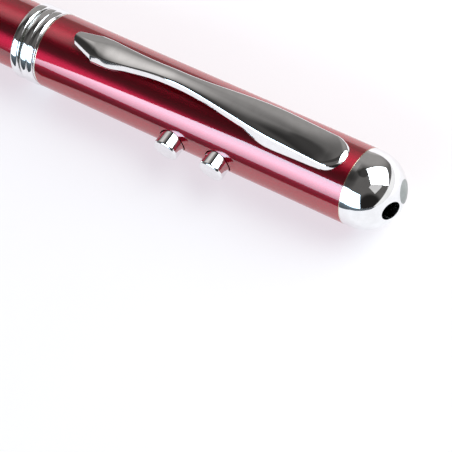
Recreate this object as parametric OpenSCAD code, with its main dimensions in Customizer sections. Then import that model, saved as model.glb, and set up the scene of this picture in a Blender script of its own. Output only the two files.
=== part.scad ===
// Pocket pen with a laser pointer and a lamp in its rear end and a twist-out ball point in front.
// The pen lies along X: light end at +X, point at -X, clip on top at +Z, buttons on the -Y side.
// The origin is on the pen's axis, where the front barrel leaves the centre ring.

/* [Rear barrel and dome] */
// Outside diameter of the rear barrel
rear_od = 11.5; // [10.9:0.1:12.6]
// Wall of the rear barrel
rear_wall = 0.75; // [0.5:0.05:0.9]
// Length of the rear barrel
rear_len = 54; // [52:0.5:62]
// Straight skirt of the dome cap before the round part starts
dome_skirt = 0.7; // [0.3:0.1:2]
// Wall of the dome cap at its crown and round its spigot
dome_wall = 0.8; // [0.6:0.05:1]
// Length of the dome cap's spigot inside the barrel
dome_spigot = 5; // [4:0.5:6]

/* [Light openings] */
// Diameter of each opening in the dome
aperture_d = 2.9; // [2.6:0.1:3.1]
// Distance between the two openings
aperture_pitch = 3.6; // [3.6:0.05:3.8]
// Height of both openings above the pen's axis
aperture_rise = 0.5; // [0:0.1:0.6]
// How far the lamp's round end lies below the dome's surface
lamp_recess = 0.15; // [0.1:0.05:0.6]
// Diameter of the laser housing
laser_d = 3.2; // [2.8:0.1:3.2]

/* [Buttons] */
// Diameter of each push button
button_d = 4; // [3.4:0.1:4.2]
// How far the buttons stand out of the barrel
button_proud = 1.95; // [1.2:0.05:2.5]
// Distance between the two buttons
button_pitch = 8; // [7:0.25:9]
// First button's distance from the front end of the rear barrel
button_at = 25.2; // [24.6:0.1:28]
// Rounding of a button's outer edge
button_round = 0.35; // [0.2:0.05:0.6]
// How far a button presses in
button_travel = 0.5; // [0.3:0.05:0.6]

/* [Pocket clip] */
// Length of the clip
clip_len = 46.7; // [44:0.1:48]
// Clip's rear end, measured back from the dome cap's edge
clip_setback = 1.55; // [1.2:0.05:2.5]
// Width of the top face at the rear
clip_rear_w = 5; // [4.6:0.1:5.2]
// Width of the top face at the waist
clip_waist_w = 2.1; // [1.8:0.1:2.6]
// Width of the top face across the arrow head
clip_head_w = 3.95; // [3.4:0.05:4.4]
// Width of the top face at the blunt tip
clip_tip_w = 1.9; // [1.4:0.1:2.4]
// Height of the top face's edge over the barrel at the rear end
clip_rear_rise = 0.5; // [0.45:0.05:0.8]
// Height of the top face's edge over the barrel at the waist
clip_waist_rise = 2.35; // [2:0.05:2.8]
// Height of the top face's edge over the barrel at the arrow head
clip_head_rise = 1.17; // [1.05:0.01:1.4]
// Height of the top face's edge over the barrel at the tip
clip_tip_rise = 1.6; // [1.4:0.05:2]
// Depth of the sides along the blade
clip_depth = 0.95; // [0.8:0.05:1.2]
// Depth of the sides at the arrow head
clip_head_depth = 1.75; // [1.5:0.05:1.9]
// Lean of the sides, outwards for each unit of depth
clip_lean = 0.27; // [0.1:0.01:0.35]
// Crown of the top face at its widest
clip_crown = 0.35; // [0.2:0.05:0.5]
// Rounding of the rear end, seen from the side
clip_end_round = 0.95; // [0.6:0.05:1.2]

/* [Centre ring] */
// Outside diameter over the ring's ridges
ring_od = 11.9; // [11.6:0.1:12.6]
// Length of the ring
ring_len = 4.4; // [4.2:0.1:5]
// Width of each of the two broad ridges
ridge_w = 1.25; // [1:0.05:1.3]
// Width of the narrow ridge next to the rear barrel
narrow_w = 0.85; // [0.6:0.05:0.9]

/* [Front half] */
// Outside diameter of the front barrel
front_od = 10.6; // [10.2:0.1:10.8]
// Wall of the front barrel
front_wall = 0.7; // [0.6:0.05:0.8]
// Visible length of the front barrel
front_len = 52; // [46:0.5:58]
// Length of the nose cone
nose_len = 20; // [17:0.5:24]
// Length of the plain band at the wide end of the nose
nose_band = 1.6; // [1:0.1:3]
// Diameter at the tip of the nose
nose_tip_d = 3.4; // [3.2:0.1:4]

/* [Twist drive and refill] */
// Turn of the front half that feeds the point right out
twist_angle = 180; // [150:5:200]
// Travel of the point
feed = 6; // [5:0.25:6.5]
// Diameter of the drive pin
pin_d = 1.2; // [1:0.1:1.4]
// Wall of the guide tube
guide_wall = 0.6; // [0.5:0.05:0.7]
// Wall of the twist sleeve
sleeve_wall = 1; // [0.8:0.05:1.1]
// Diameter of the refill's tube
refill_d = 3; // [2.6:0.1:3.2]
// Diameter of the refill's point
point_d = 2.3; // [2:0.1:2.3]
// Diameter of the writing ball
ball_d = 1; // [0.7:0.1:1]
// How far the ball lies inside the nose when drawn in
point_inset = 1.6; // [1:0.1:2.4]

/* [Power and board] */
// Diameter of a button cell
cell_d = 7.9; // [7:0.1:8]
// Height of a button cell
cell_h = 3.6; // [3:0.1:3.8]
// Thickness of the circuit board
board_t = 0.8; // [0.6:0.1:1]
// Width and length of a switch body
switch_w = 4; // [3.5:0.1:4.2]
// Height of a switch body
switch_h = 1.8; // [1.6:0.1:2]

/* [Clearances] */
// Gap of a piece that is pressed or glued into its seat
seat_gap = 0.02; // [0.01:0.005:0.04]
// Gap of a piece that turns or slides in another
run_gap = 0.1; // [0.06:0.01:0.14]
// Gap between the centre ring and the rear barrel
joint_gap = 0.1; // [0.05:0.01:0.2]
// Gap round a button in the barrel
button_gap = 0.15; // [0.1:0.01:0.2]
// Gap under the clip's rear end, which dips as the clip is lifted
clip_gap = 0.25; // [0.22:0.01:0.3]
// Gap under the rest of the clip's edge where it comes down to the barrel
edge_gap = 0.08; // [0.05:0.01:0.12]

/* [Hidden] */
$fn = 72;

// Colours as seen
red_c = [0.72, 0.05, 0.1];
chrome_c = [0.8, 0.8, 0.82];
brass_c = [0.8, 0.65, 0.3];
black_c = [0.08, 0.08, 0.09];

// Rear half, from its front end to the dome
rear_r = rear_od / 2;
rear_bore_r = rear_r - rear_wall;
rear_x0 = ring_len + joint_gap;
dome_x = rear_x0 + rear_len;
round_x = dome_x + dome_skirt;
spigot_r = rear_bore_r - seat_gap;
cap_bore_r = spigot_r - dome_wall;
hollow_x = round_x + rear_r - dome_wall - cap_bore_r;

// Lights
light_y = aperture_pitch / 2;
holder_r = cap_bore_r - seat_gap;
holder_x0 = dome_x - dome_spigot + 0.2;
boss_len = 2;
boss_x = hollow_x + boss_len;
boss_r = sqrt(cap_bore_r * cap_bore_r - boss_len * boss_len) - 0.15;
laser_r = laser_d / 2;
laser_stop_t = 1.1;
laser_stop_x = boss_x - laser_stop_t;
lamp_r = aperture_d / 2 - 0.05;
lamp_tip_x = round_x + sqrt(rear_r * rear_r - light_y * light_y - aperture_rise * aperture_rise) - lamp_recess;
lamp_len = 5.3;
lamp_x0 = lamp_tip_x - lamp_len;
lamp_rim_t = 1;
lamp_rim_r = lamp_r + 0.35;

// Board, switches and buttons; the board's switch side faces the buttons
board_y = 0.7;
board_back = 3.5;
board_x1 = dome_x - dome_spigot - board_back;
button_1_x = rear_x0 + button_at;
button_2_x = button_1_x + button_pitch;
board_x0 = button_1_x - switch_w / 2 - 1.2;
board_half = sqrt(pow(rear_bore_r - 0.05, 2) - pow(board_y + board_t, 2));
chip_shift = 1;
chip_low = -2;
chip_size = [3.6, 0.9, 2.6];
bit_shift = 1.5;
bit_pitch = 2.4;
bit_size = [1.6, 0.5, 0.8];
lamp_lead_r = 0.22;
lamp_lead_pitch = 2.2;
lamp_lead_lap = 1.6;
lead_gap = 0.03;
switch_top = switch_h - board_y;
plunger_r = 1;
plunger_in = 0.6;
plunger_out = 0.8;
button_r = button_d / 2;
flange_t = 0.6;
flange_lip = 0.45;
flange_r = button_r + flange_lip;
flange_top = sqrt(rear_bore_r * rear_bore_r - flange_r * flange_r) - 0.15;
button_top = rear_r + button_proud;

// Centre ring: its ridges are set from its rear edge, a thin rim there and a fine groove between
ring_r = ring_od / 2;
ridge_r = ridge_w / 2;
narrow_r = narrow_w / 2;
ring_rim = 0.15;
ring_groove = 0.08;
narrow_x = ring_len - ring_rim - narrow_r;
ridge_x = narrow_x - narrow_r - ring_groove - ridge_r;

// Twist drive
front_r = front_od / 2;
front_bore_r = front_r - front_wall;
ring_seat_r = front_r - 0.25;
guide_r = front_bore_r - seat_gap;
guide_bore_r = guide_r - guide_wall;
sleeve_r = guide_bore_r - run_gap;
sleeve_bore_r = sleeve_r - sleeve_wall;
carrier_r = sleeve_bore_r - run_gap;
drive_x = -12;
pin_r = pin_d / 2;
slot_gap = 0.15;
slot_steps = 24;
sleeve_lead = 8;
guide_lead = 1;
guide_back = 2.4;
sleeve_x0 = drive_x - feed - sleeve_lead;
guide_x0 = sleeve_x0 - guide_lead;
guide_x1 = ring_len - guide_back;
collar_x = guide_x1 + run_gap;
collar_t = 1.2;
keep_x0 = collar_x + collar_t + run_gap;
seat_x1 = ring_len - 0.1;
plug_inset = 0.2;
plug_bore_len = 5.8;
plug_web = 0.8;
plug_x0 = rear_x0 + plug_inset;
plug_bore_x = plug_x0 + plug_bore_len;
plug_x1 = plug_bore_x + plug_web;
sleeve_x1 = plug_bore_x - plug_inset;

// Cells, held between the plug's spring and the board's contact
cell_r = cell_d / 2;
contact_t = 0.4;
contact_tail = 2.2;
contact_tail_t = 0.3;
contact_tail_w = 2;
contact_x = board_x0 - 0.2 - contact_t;
cells_x0 = contact_x - 3 * cell_h;
spring_wire = 0.5;
spring_len = cells_x0 - plug_x1;
spring_turns = max(1, floor(spring_len / 1.1));
spring_big_r = cell_r - 0.75;
spring_small_r = cell_r - 1.75;

// Nose and refill
nose_x0 = -front_len;
nose_x1 = nose_x0 - nose_len;
nose_groove = 0.4;
nose_spigot = 6;
nose_guide = 6;
refill_gap = 0.25;
cone_x0 = nose_x0 - nose_band - nose_groove;
cone_r = front_r - 0.1;
tip_r = nose_tip_d / 2;
cone_len = cone_x0 - nose_x1;
cone_arc = (cone_len * cone_len + pow(cone_r - tip_r, 2)) / (2 * (cone_r - tip_r));
refill_r = refill_d / 2;
refill_bore_r = refill_r - 0.4;
point_r = point_d / 2;
point_len = 13;
point_cone_len = 4;
point_plug_len = 2.9;
ink_front_gap = 0.1;
ink_back_gap = 5;
carrier_front = 14.5;
carrier_web = 6.3;
carrier_back = 2.5;
point_step_x = nose_x1 + point_len;
socket_x0 = drive_x - carrier_front;
socket_x1 = drive_x - carrier_web;
ball_r = ball_d / 2;
ball_x = nose_x1 + point_inset + ball_r;

// Pocket clip: stations are distances from its rear end towards the tip
clip_x = dome_x - clip_setback;
clip_end_depth = 1.1;
clip_end_r = clip_rear_w / 2 + clip_lean * clip_end_depth;
clip_land = 0.12;
clip_pivot = 3.4;
ear_from = 4.7;
ear_to = 11.8;
ear_t = 0.7;
ear_y = clip_rear_w / 2 + clip_lean * clip_end_depth - 0.02;
edge_z = sqrt(rear_r * rear_r - clip_end_r * clip_end_r) + edge_gap;
hook_y = ear_y + 0.6;
hook_z = sqrt(rear_bore_r * rear_bore_r - hook_y * hook_y) - 0.4;
waist_from = 10;
waist_at = 28;
neck_at = 30.4;
head_at = clip_len - 5;

function mix(a, b, t) = a + (b - a) * t;
function ramp(s, s0, s1) = min(1, max(0, (s - s0) / (s1 - s0)));
function ease(t) = t * t * (3 - 2 * t);

// Half the width of the top face at station s
function clip_half(s) =
    s < neck_at ? mix(clip_rear_w, clip_waist_w, ease(ramp(s, waist_from, waist_at))) / 2
    : s < head_at ? mix(clip_waist_w, clip_head_w, ease(ramp(s, neck_at, head_at))) / 2
    : mix(clip_head_w, clip_tip_w, ramp(s, head_at, clip_len - 0.3)) / 2 - 0.3 * ramp(s, clip_len - 0.3, clip_len);

// Height of the top face's edge at station s
function clip_z(s) =
    rear_r + (
        s < waist_at ? mix(clip_rear_rise, clip_waist_rise, ease(pow(ramp(s, 0, waist_at), 0.8)))
        : s < head_at - 0.7 ? mix(clip_waist_rise, clip_head_rise, ease(ramp(s, waist_at, head_at - 0.7)))
        : mix(clip_head_rise, clip_tip_rise, pow(ramp(s, head_at - 0.7, clip_len), 1.5))
    );

// Depth of the sides at station s: down to the barrel at the ears, shallow along the blade
function clip_deep(s) =
    s < clip_end_r ? clip_end_depth
    : s < waist_at ? mix(max(clip_end_depth, clip_z(s) - edge_z), clip_depth, ease(ramp(s, ear_to, ear_to + 4.5)))
    : s < head_at ? mix(clip_depth, clip_head_depth, ease(ramp(s, head_at - 5, head_at)))
    : mix(clip_head_depth, 0.8, ramp(s, head_at, clip_len));

// Half the width over the sides at station s; the rear end is round seen from above
function clip_side(s) =
    s < clip_end_r ? sqrt(max(0, clip_end_r * clip_end_r - pow(clip_end_r - s, 2)))
    : clip_half(s) + clip_lean * clip_deep(s);

// Fall of the top at station s and y, from the top face's edge to the lower edge of the side
function clip_fall(s, y) =
    let (r = s < clip_end_r ? norm([clip_end_r - s, y]) : abs(y))
    let (c = s < clip_end_r ? (clip_end_r - s) / max(r, 0.01) : 0)
    let (outer = s < clip_end_r ? clip_end_r : clip_side(s))
    let (band = s < clip_end_r ? mix(clip_lean * clip_end_depth, clip_end_round, c) : outer - clip_half(s))
    let (t = ramp(r, outer - band, outer))
    clip_deep(s) * mix(t, 1 - sqrt(max(0, 1 - t * t)), c);

// Crown of the top face at station s and y
function clip_bulge(s, y) =
    let (r = s < clip_end_r ? norm([clip_end_r - s, y]) : abs(y))
    clip_crown * clip_half(s) / clip_rear_w * 2 * max(0, 1 - pow(r / clip_half(s), 2));

// Underside at station s and y: it keeps off the barrel
function clip_under(s, y) =
    let (gap = mix(clip_gap, edge_gap, ramp(s, clip_pivot, ear_from)))
    max(clip_z(s) - clip_deep(s) - clip_land, sqrt(rear_r * rear_r - y * y) + gap);

// Top at station s and y
function clip_top(s, y) = max(clip_z(s) + clip_bulge(s, y) - clip_fall(s, y), clip_under(s, y) + clip_land);

// Stations: close together round the rear end and at the tip, even between
clip_s = concat(
    [for (a = [10:10:90]) clip_end_r * (1 - cos(a))],
    [for (i = [1:36]) mix(clip_end_r, head_at, i / 36)],
    [for (i = [1:5]) mix(head_at, clip_len - 0.3, i / 5)],
    [clip_len]
);
// Places across a section, as shares of the top face and of the side beside it
clip_u = [
    [-1, -1], [-1, -0.6], [-1, -0.25], [-1, 0], [-0.85, 0], [-0.6, 0], [-0.3, 0], [0, 0],
    [0.3, 0], [0.6, 0], [0.85, 0], [1, 0], [1, 0.25], [1, 0.6], [1, 1]
];
function clip_y(s, u) =
    let (side = clip_side(s))
    let (flat = s < clip_end_r ? side * clip_rear_w / 2 / clip_end_r : clip_half(s))
    u[0] * flat + u[1] * (side - flat);

function clip_points() = [
    for (s = clip_s)
    for (row = [0, 1])
    for (u = clip_u)
    let (y = clip_y(s, u))
    [clip_x - s, y, row == 0 ? clip_under(s, y) : clip_top(s, y)]
];

// Faces of a solid whose sections each have a lower and an upper row of n points
function row_faces(stations, n) = concat(
    [for (i = [0:stations - 2]) for (j = [0:n - 2]) for (f = row_quad(i, j, n)) f],
    [for (i = [0:stations - 2]) for (f = side_quads(i, n)) f],
    [for (j = [0:n - 2]) for (f = [[j, n + j + 1, j + 1], [j, n + j, n + j + 1]]) f],
    [
        for (j = [0:n - 2])
        let (b = 2 * n * (stations - 1))
        for (f = [[b + j, b + j + 1, b + n + j + 1], [b + j, b + n + j + 1, b + n + j]]) f
    ]
);
function row_quad(i, j, n) =
    let (a = 2 * n * i + j)
    let (b = a + 2 * n)
    [[a, a + 1, b], [a + 1, b + 1, b], [a + n, b + n, a + n + 1], [a + n + 1, b + n, b + n + 1]];
function side_quads(i, n) =
    let (a = 2 * n * i)
    let (b = a + 2 * n)
    let (c = a + n - 1)
    let (d = b + n - 1)
    [[a, b, a + n], [a + n, b, b + n], [c, c + n, d], [c + n, d + n, d]];

// Spring wire: a cone-shaped coil along X
spring_rings = 16 * spring_turns + 1;
function spring_at(i) =
    let (t = i / (spring_rings - 1))
    let (r = mix(spring_big_r, spring_small_r, t))
    let (a = 360 * spring_turns * t)
    let (rise = spring_len - spring_wire - 2 * seat_gap)
    [plug_x1 + seat_gap + spring_wire / 2 + rise * t, r * cos(a), r * sin(a)];
function unit(v) = v / norm(v);
function spring_ring(i) =
    let (c = spring_at(i))
    let (way = unit(spring_at(min(spring_rings - 1, i + 1)) - spring_at(max(0, i - 1))))
    let (out = unit(cross(way, [1, 0, 0])))
    let (up = cross(way, out))
    [for (k = [0:7]) c + spring_wire / 2 * (cos(45 * k) * out + sin(45 * k) * up)];
spring_spacing = min([
    for (i = [0:spring_rings - 1])
    for (j = [i + 12:1:spring_rings - 1]) norm(spring_at(i) - spring_at(j))
]);
echo(least_gap_between_spring_turns = spring_spacing - spring_wire);

// Solid between two places on the pen's axis
module rod(x0, x1, r) {
    translate([x0, 0, 0])
        rotate([0, 90, 0])
            cylinder(h = x1 - x0, r = r);
}

// Hollow rod
module pipe(x0, x1, r, bore) {
    difference() {
        rod(x0, x1, r);
        rod(x0 - 1, x1 + 1, bore);
    }
}

// Rod beside the axis, at the height of the light openings
module light_rod(y, x0, x1, r) {
    translate([0, y, aperture_rise])
        rod(x0, x1, r);
}

// Profile in radius and length, turned about the pen's axis
module turned() {
    rotate([0, 90, 0])
        rotate_extrude()
            children();
}

// Place for something that points out of the barrel on the button side
module button_place(x) {
    translate([x, 0, 0])
        rotate([90, 0, 0])
            children();
}

module rear_barrel() {
    color(red_c)
        difference() {
            rod(rear_x0, dome_x, rear_r);
            rod(rear_x0 - 1, dome_x + 1, rear_bore_r);
            for (x = [button_1_x, button_2_x])
                button_place(x)
                    cylinder(h = rear_od, r = button_r + button_gap);
            for (side = [-1, 1])
                translate([clip_x - ear_to - 0.25, side * (ear_y - ear_t / 2) - ear_t / 2 - 0.15, 0])
                    cube([ear_to - ear_from + 0.45, ear_t + 0.3, rear_od]);
        }
}

module dome_cap() {
    color(chrome_c)
        difference() {
            turned()
                difference() {
                    union() {
                        translate([0, dome_x - dome_spigot])
                            square([spigot_r, dome_spigot + dome_skirt]);
                        translate([0, dome_x])
                            square([rear_r, dome_skirt]);
                        intersection() {
                            translate([0, round_x])
                                circle(r = rear_r);
                            translate([0, round_x])
                                square([rear_od, rear_od]);
                        }
                    }
                    translate([0, dome_x - dome_spigot - 1])
                        square([cap_bore_r, hollow_x - dome_x + dome_spigot + 1]);
                    translate([0, hollow_x])
                        circle(r = cap_bore_r);
                }
            for (side = [-1, 1])
                light_rod(side * light_y, hollow_x, round_x + rear_od, aperture_d / 2);
        }
}

module light_holder() {
    color(black_c)
        difference() {
            union() {
                rod(holder_x0, hollow_x, holder_r);
                rod(hollow_x - 1, boss_x, boss_r);
            }
            light_rod(-light_y, holder_x0 - 1, laser_stop_x, laser_r + seat_gap);
            light_rod(-light_y, holder_x0, boss_x + 1, 0.9);
            light_rod(light_y, holder_x0 - 1, lamp_x0 + lamp_rim_t + 0.05, lamp_rim_r + 0.05);
            light_rod(light_y, holder_x0, boss_x + 1, lamp_r + 0.05);
        }
}

module laser_housing() {
    color(brass_c)
        difference() {
            light_rod(-light_y, board_x1 + 1.5, laser_stop_x - 0.05, laser_r);
            light_rod(-light_y, board_x1, laser_stop_x - 0.5, laser_r - 0.35);
            light_rod(-light_y, board_x1, laser_stop_x + 1, laser_r - 0.7);
        }
}

module laser_lens() {
    color([0.75, 0.85, 0.9])
        light_rod(-light_y, laser_stop_x - 1.5, laser_stop_x - 0.5, laser_r - 0.35 - seat_gap);
}

module laser_diode() {
    color(brass_c)
        light_rod(-light_y, board_x1 + 1.7, board_x1 + 3.4, laser_r - 0.35 - seat_gap);
}

module laser_leads() {
    color(chrome_c)
        for (side = [-1, 1])
            translate([0, 0, aperture_rise + 0.6 * side]) {
                translate([0, -light_y, 0])
                    rod(board_x1 - 1, board_x1 + 1.7, 0.2);
                translate([board_x1 - 1, -light_y, 0])
                    sphere(r = 0.2);
                translate([board_x1 - 1, board_y, 0])
                    rotate([90, 0, 0])
                        cylinder(h = light_y + board_y, r = 0.2);
            }
}

module lamp() {
    color([0.92, 0.93, 0.95]) {
        light_rod(light_y, lamp_x0, lamp_x0 + lamp_rim_t, lamp_rim_r);
        light_rod(light_y, lamp_x0, lamp_tip_x - lamp_r, lamp_r);
        translate([lamp_tip_x - lamp_r, light_y, aperture_rise])
            sphere(r = lamp_r);
    }
}

module lamp_leads() {
    color(chrome_c)
        for (side = [-1, 1])
            translate([0, board_y + board_t + lamp_lead_r + lead_gap, aperture_rise + lamp_lead_pitch / 2 * side])
                rod(board_x1 - lamp_lead_lap, lamp_x0, lamp_lead_r);
}

module circuit_board() {
    color([0.1, 0.35, 0.15])
        translate([board_x0, board_y, -board_half])
            cube([board_x1 - board_x0, board_t, 2 * board_half]);
}

module board_parts() {
    color(black_c) {
        translate([button_1_x + chip_shift, board_y + board_t, chip_low])
            cube(chip_size);
        for (i = [0:2])
            translate([button_2_x - bit_shift + bit_pitch * i, board_y + board_t, -bit_size[2] / 2])
                cube(bit_size);
    }
}

module board_contact() {
    color(brass_c) {
        rod(contact_x, contact_x + contact_t, cell_r - 0.05);
        translate([contact_x, board_y + board_t, -contact_tail_w / 2])
            cube([contact_t + contact_tail, contact_tail_t, contact_tail_w]);
    }
}

module switch_body(x) {
    color([0.3, 0.3, 0.32])
        button_place(x)
            difference() {
                translate([-switch_w / 2, -switch_w / 2, -board_y])
                    cube([switch_w, switch_w, switch_h]);
                translate([0, 0, switch_top - plunger_in - button_travel - 0.1])
                    cylinder(h = switch_h, r = plunger_r + run_gap);
            }
}

module switch_plunger(x) {
    color(black_c)
        button_place(x)
            translate([0, 0, switch_top - plunger_in])
                cylinder(h = plunger_in + plunger_out, r = plunger_r);
}

module push_button(x) {
    color(chrome_c)
        button_place(x)
            rotate_extrude() {
                translate([0, switch_top + plunger_out])
                    square([plunger_r, flange_top - switch_top - plunger_out]);
                translate([0, flange_top - flange_t])
                    square([flange_r, flange_t]);
                translate([0, flange_top])
                    square([button_r, button_top - button_round - flange_top]);
                translate([0, flange_top])
                    square([button_r - button_round, button_top - flange_top]);
                translate([button_r - button_round, button_top - button_round])
                    circle(r = button_round);
            }
}

module button_cell(i) {
    color(chrome_c)
        rod(cells_x0 + (i - 1) * cell_h, cells_x0 + i * cell_h, cell_r);
}

module cell_sleeve() {
    color(black_c)
        pipe(plug_x1, contact_x + contact_t, rear_bore_r - seat_gap, cell_r + run_gap);
}

module cell_spring() {
    color(brass_c)
        polyhedron(
            points = concat([for (i = [0:spring_rings - 1]) each spring_ring(i)],
                [spring_at(0), spring_at(spring_rings - 1)]),
            faces = concat(
                [
                    for (i = [0:spring_rings - 2])
                    for (k = [0:7])
                    let (a = 8 * i + k)
                    let (b = 8 * i + (k + 1) % 8)
                    for (f = [[a, a + 8, b], [b, a + 8, b + 8]]) f
                ],
                [for (k = [0:7]) [k, (k + 1) % 8, 8 * spring_rings]],
                [
                    for (k = [0:7])
                    let (b = 8 * (spring_rings - 1))
                    [b + (k + 1) % 8, b + k, 8 * spring_rings + 1]
                ]
            )
        );
}

module cell_plug() {
    color(brass_c)
        difference() {
            rod(plug_x0, plug_x1, rear_bore_r - seat_gap);
            rod(plug_x0 - 1, plug_bore_x, sleeve_r + seat_gap);
        }
}

module pocket_clip() {
    color(chrome_c) {
        polyhedron(points = clip_points(), faces = row_faces(len(clip_s), len(clip_u)));
        for (side = [-1, 1]) {
            translate([clip_x - ear_to, side * (ear_y - ear_t / 2) - ear_t / 2, hook_z - 0.5])
                cube([ear_to - ear_from, ear_t, edge_z + 0.15 - hook_z + 0.5]);
            translate([clip_x - ear_from - 2.2, side > 0 ? ear_y - ear_t : -hook_y, hook_z - 0.5])
                cube([2.2, hook_y - ear_y + ear_t, 0.5]);
        }
    }
}

module centre_ring() {
    color(chrome_c)
        turned()
            difference() {
                union() {
                    square([ring_r - ridge_r, ring_len]);
                    for (x = [ridge_r, ridge_x])
                        translate([ring_r - ridge_r, x])
                            circle(r = ridge_r);
                    translate([ring_r - narrow_r - 0.05, narrow_x])
                        circle(r = narrow_r);
                }
                translate([0, -1])
                    square([ring_seat_r + seat_gap, ring_len + 2]);
            }
}

module front_barrel() {
    color(red_c)
        difference() {
            union() {
                rod(nose_x0, 0, front_r);
                rod(-1, seat_x1, ring_seat_r);
            }
            rod(nose_x0 - 1, seat_x1 + 1, front_bore_r);
        }
}

module nose_cone() {
    color(chrome_c)
        difference() {
            union() {
                rod(nose_x0, nose_x0 + nose_spigot, front_bore_r - seat_gap);
                rod(nose_x0 - nose_band, nose_x0, front_r);
                rod(cone_x0 - 0.01, nose_x0, front_r - 0.35);
                turned()
                    intersection() {
                        translate([cone_r - cone_arc, cone_x0])
                            circle(r = cone_arc, $fn = 240);
                        translate([0, nose_x1])
                            square([front_od, cone_len]);
                    }
            }
            rod(nose_x1 + nose_guide, nose_x0 + nose_spigot + 1, refill_r + refill_gap);
            rod(nose_x1 - 1, nose_x0, point_r + run_gap);
        }
}

module guide_tube() {
    color(brass_c)
        difference() {
            pipe(guide_x0, guide_x1, guide_r, guide_bore_r);
            for (x = [drive_x - feed, drive_x])
                translate([x, 0, 0])
                    cylinder(h = front_od, r = pin_r + slot_gap);
            translate([drive_x - feed, -pin_r - slot_gap, 0])
                cube([feed, pin_d + 2 * slot_gap, front_od]);
        }
}

module sleeve_cap() {
    color(brass_c)
        pipe(keep_x0, seat_x1, front_bore_r - seat_gap, sleeve_r + run_gap);
}

module twist_sleeve() {
    color([0.85, 0.85, 0.8])
        difference() {
            union() {
                rod(sleeve_x0, sleeve_x1, sleeve_r);
                rod(collar_x, collar_x + collar_t, front_bore_r - 0.2);
            }
            rod(sleeve_x0 - 1, sleeve_x1 + 1, sleeve_bore_r);
            for (i = [0:slot_steps])
                rotate([twist_angle * i / slot_steps, 0, 0])
                    translate([drive_x - feed * i / slot_steps, 0, sleeve_bore_r / 2])
                        cylinder(h = sleeve_r, r = pin_r + slot_gap);
        }
}

module refill_carrier() {
    color(black_c)
        difference() {
            rod(socket_x0, drive_x + carrier_back, carrier_r);
            rod(socket_x0 - 1, socket_x1, refill_r + seat_gap);
            translate([drive_x, 0, -carrier_r + 0.6])
                cylinder(h = front_od, r = pin_r + seat_gap);
        }
}

module drive_pin() {
    color(chrome_c)
        translate([drive_x, 0, -carrier_r + 0.65])
            cylinder(h = guide_r - 0.2 + carrier_r - 0.65, r = pin_r);
}

module refill_tube() {
    color(brass_c)
        pipe(point_step_x, socket_x1 - 0.1, refill_r, refill_bore_r);
}

module refill_ink() {
    color([0.05, 0.05, 0.2])
        rod(point_step_x + point_plug_len + ink_front_gap, socket_x1 - ink_back_gap, refill_bore_r - seat_gap);
}

module refill_point() {
    color(chrome_c)
        difference() {
            union() {
                rod(point_step_x - 0.01, point_step_x + point_plug_len, refill_bore_r - seat_gap);
                rod(nose_x1 + point_cone_len, point_step_x, point_r);
                translate([ball_x, 0, 0])
                    rotate([0, 90, 0])
                        cylinder(h = nose_x1 + point_cone_len - ball_x, r1 = ball_r + 0.06, r2 = point_r);
            }
            translate([ball_x, 0, 0])
                sphere(r = ball_r + 0.005);
        }
}

module point_ball() {
    color(chrome_c)
        translate([ball_x, 0, 0])
            sphere(r = ball_r);
}

rear_barrel();
dome_cap();
light_holder();
laser_housing();
laser_lens();
laser_diode();
laser_leads();
lamp();
lamp_leads();
circuit_board();
board_parts();
board_contact();
switch_body(button_2_x);  // laser_switch
switch_body(button_1_x);  // lamp_switch
switch_plunger(button_2_x);  // laser_plunger
switch_plunger(button_1_x);  // lamp_plunger
push_button(button_2_x);  // laser_button
push_button(button_1_x);  // lamp_button
for (i = [1:3])
    button_cell(i);
cell_sleeve();
cell_spring();
cell_plug();
pocket_clip();
centre_ring();
front_barrel();
nose_cone();
guide_tube();
sleeve_cap();
twist_sleeve();
refill_carrier();
drive_pin();
refill_tube();
refill_ink();
refill_point();
point_ball();
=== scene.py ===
"""Dresses a twist-action pointer pen round its frame: smooth clip, fine trim, finishes, studio and camera."""

import logging
import math
from dataclasses import dataclass, field
from enum import Enum
from typing import Callable, Iterable, Sequence

import bmesh
import bpy
from mathutils import Matrix, Vector


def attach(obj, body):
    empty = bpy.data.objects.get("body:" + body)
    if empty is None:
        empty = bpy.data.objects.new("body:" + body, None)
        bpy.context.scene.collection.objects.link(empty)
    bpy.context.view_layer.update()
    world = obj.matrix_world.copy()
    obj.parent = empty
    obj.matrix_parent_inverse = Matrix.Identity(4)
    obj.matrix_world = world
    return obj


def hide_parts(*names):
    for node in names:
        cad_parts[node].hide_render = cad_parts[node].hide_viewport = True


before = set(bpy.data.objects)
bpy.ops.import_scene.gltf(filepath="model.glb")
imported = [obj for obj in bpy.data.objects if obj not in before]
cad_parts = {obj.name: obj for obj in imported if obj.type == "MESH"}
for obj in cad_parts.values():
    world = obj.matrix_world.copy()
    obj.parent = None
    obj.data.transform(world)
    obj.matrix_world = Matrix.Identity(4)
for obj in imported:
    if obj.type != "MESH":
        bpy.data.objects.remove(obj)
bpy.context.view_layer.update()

LOG = logging.getLogger("pen")
MM = 0.001
WELD = 1e-7
SLIVER = 1e-8
SHARP_DEG = 38.0
Triple = tuple[float, float, float]
Colour = Triple
Pair = tuple[float, float]
Stop = tuple[float, float, bool]
Socket = bpy.types.NodeSocket
Piece = bpy.types.Object
Material = bpy.types.Material
EVEN = (1.0, 1.0, 1.0)
ACROSS = (1.0, 0.05, 0.05)


class Body(Enum):
    """The bodies that new pieces ride on, by their names in the frame."""

    REAR = "rear_half"
    FRONT = "front_half"
    CLIP = "clip"


class Slot(Enum):
    """The record's material slots named for new pieces."""

    CHROME = "chrome"
    BRASS = "brass"
    BLACK_PLASTIC = "black_plastic"
    LAMP_RESIN = "lamp_resin"


def mix(a: float, b: float, t: float) -> float:
    """Value a share t of the way from a to b."""
    return a + (b - a) * t


def ramp(value: float, low: float, high: float) -> float:
    """Share of the way of value from low to high, held within 0 and 1."""
    return min(1.0, max(0.0, (value - low) / (high - low)))


def ease(t: float) -> float:
    """Share t eased in and out."""
    return t * t * (3 - 2 * t)


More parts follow.
